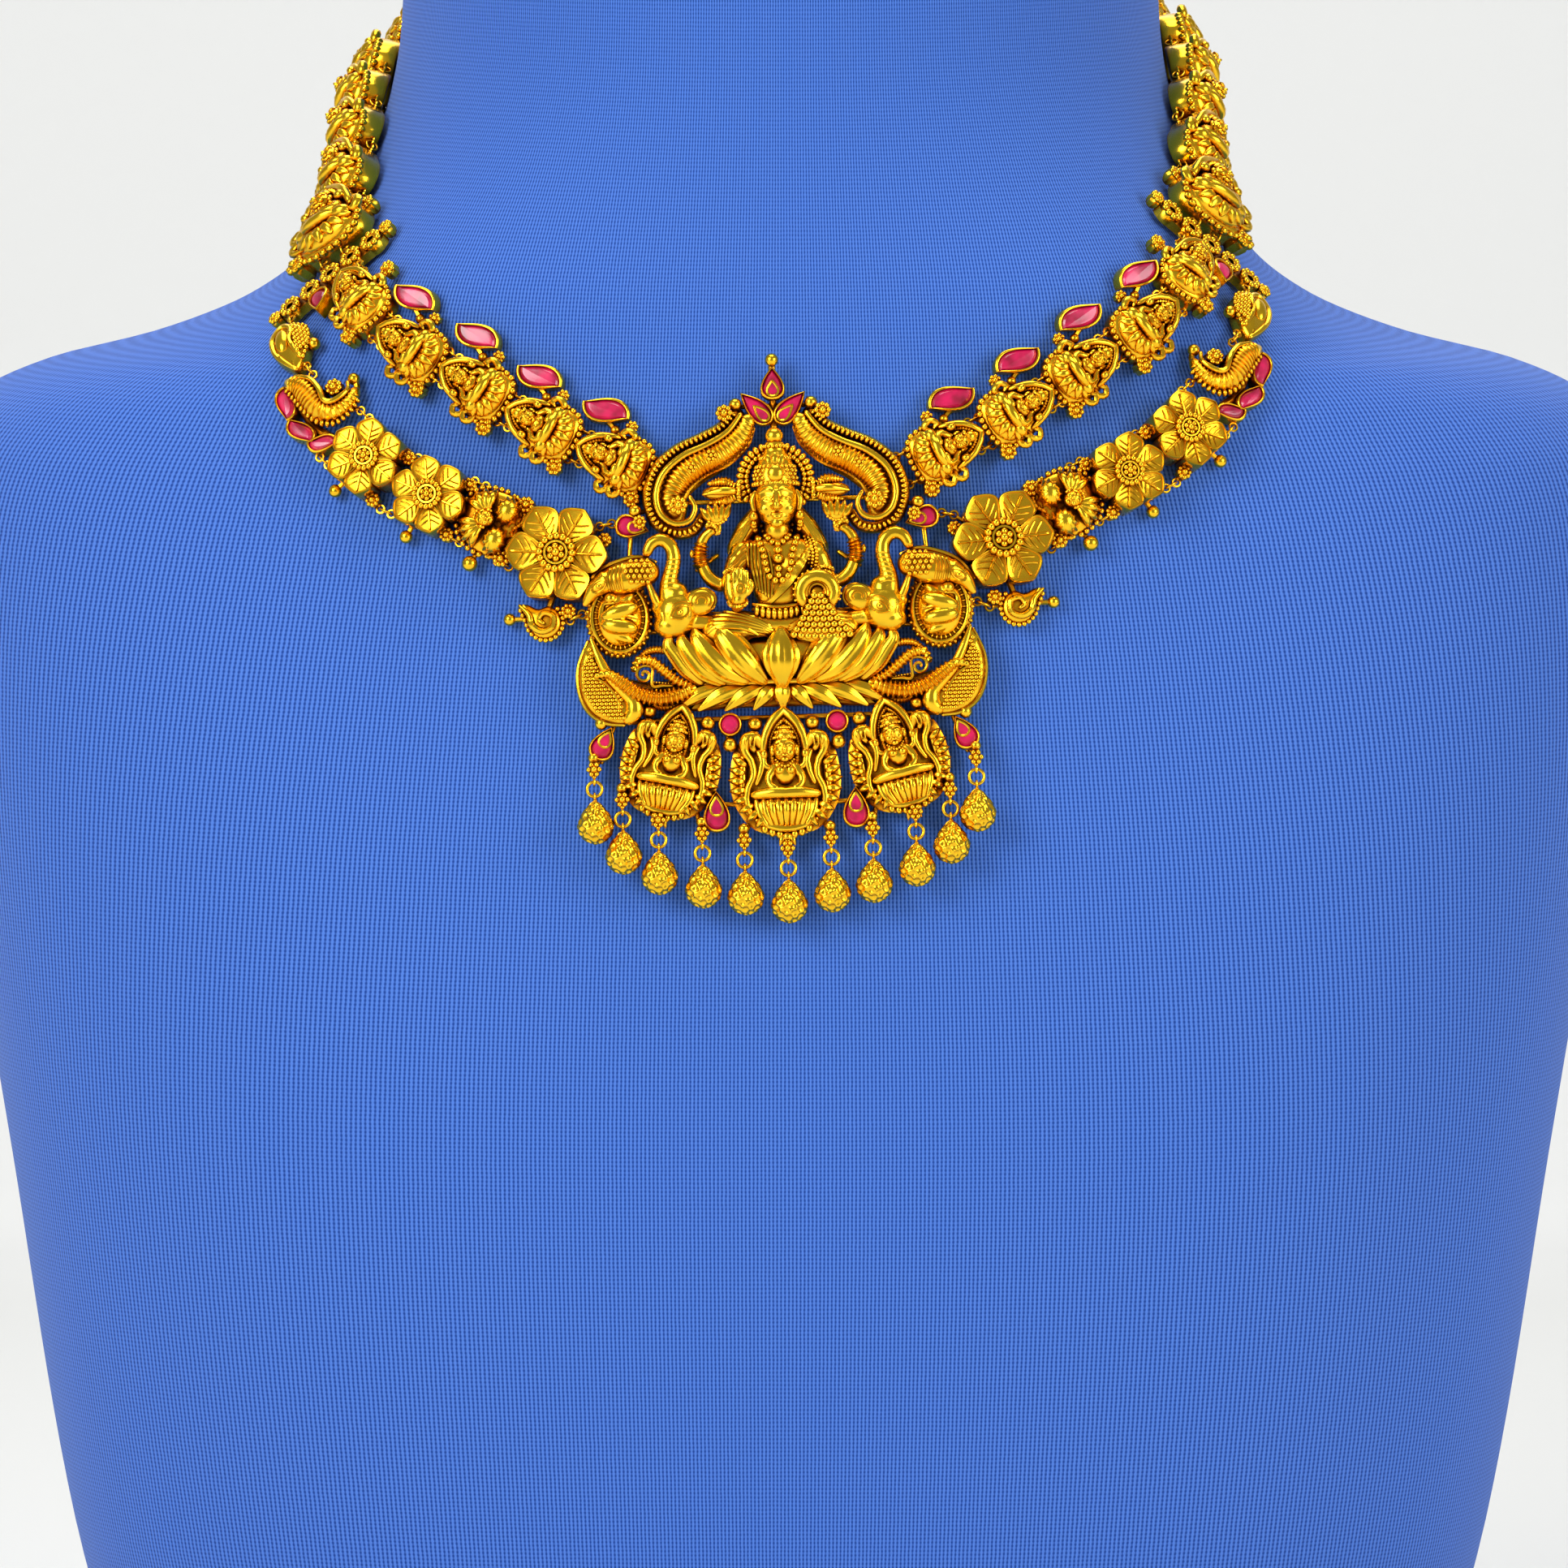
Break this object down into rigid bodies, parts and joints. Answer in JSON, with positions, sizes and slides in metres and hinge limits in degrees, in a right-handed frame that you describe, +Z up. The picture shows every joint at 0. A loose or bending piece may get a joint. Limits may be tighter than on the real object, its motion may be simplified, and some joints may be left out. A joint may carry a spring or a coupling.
{
  "type": "temple necklace on neck bust",
  "caption": "Antique gold temple necklace of cast goddess and flower links with red stones and a pierced goddess pendant hung with bud drops, on a plain cloth-covered neck bust.",
  "frame": {"origin": "middle of the bust's flat foot, below the neck's axis", "axes": "+Z up along the neck's axis; the pendant and the bust's front face -Y; the wearer's left arm side is +X"},
  "size_m": [0.2618, 0.1433, 0.29],
  "materials": {
    "jersey": "fine knitted jersey, matt",
    "gold": "antique gold plate, dark in the hollows",
    "ruby": "faceted red-pink stone"
  },
  "bodies": {
    "root": {"bust": "jersey", "pendant": "gold", "drop_rings": "gold", "drop_1": "gold", "drop_2": "gold", "drop_3": "gold", "drop_4": "gold", "drop_5": "gold", "drop_6": "gold", "drop_7": "gold", "drop_8": "gold", "drop_9": "gold", "drop_10": "gold", "drop_11": "gold", "goddess_link_left_1": "gold", "goddess_link_left_2": "gold", "goddess_link_left_3": "gold", "goddess_link_left_4": "gold", "goddess_link_left_5": "gold", "goddess_link_right_1": "gold", "goddess_link_right_2": "gold", "goddess_link_right_3": "gold", "goddess_link_right_4": "gold", "goddess_link_right_5": "gold", "flower_link_left_1": "gold", "flower_link_left_2": "gold", "flower_link_left_3": "gold", "flower_link_right_1": "gold", "flower_link_right_2": "gold", "flower_link_right_3": "gold", "bird_link_left": "gold", "scroll_link_left": "gold", "leaf_link_left": "gold", "spacer_bar_left": "gold", "back_strand_left": "gold", "upper_rings_left": "gold", "lower_rings_left": "gold", "back_rings_left": "gold", "bird_link_right": "gold", "scroll_link_right": "gold", "leaf_link_right": "gold", "spacer_bar_right": "gold", "back_strand_right": "gold", "upper_rings_right": "gold", "lower_rings_right": "gold", "back_rings_right": "gold", "clasp": "gold", "pendant_rubies": "ruby", "upper_rubies_left": "ruby", "lower_rubies_left": "ruby", "upper_rubies_right": "ruby", "lower_rubies_right": "ruby"}
  },
  "joints": []
}
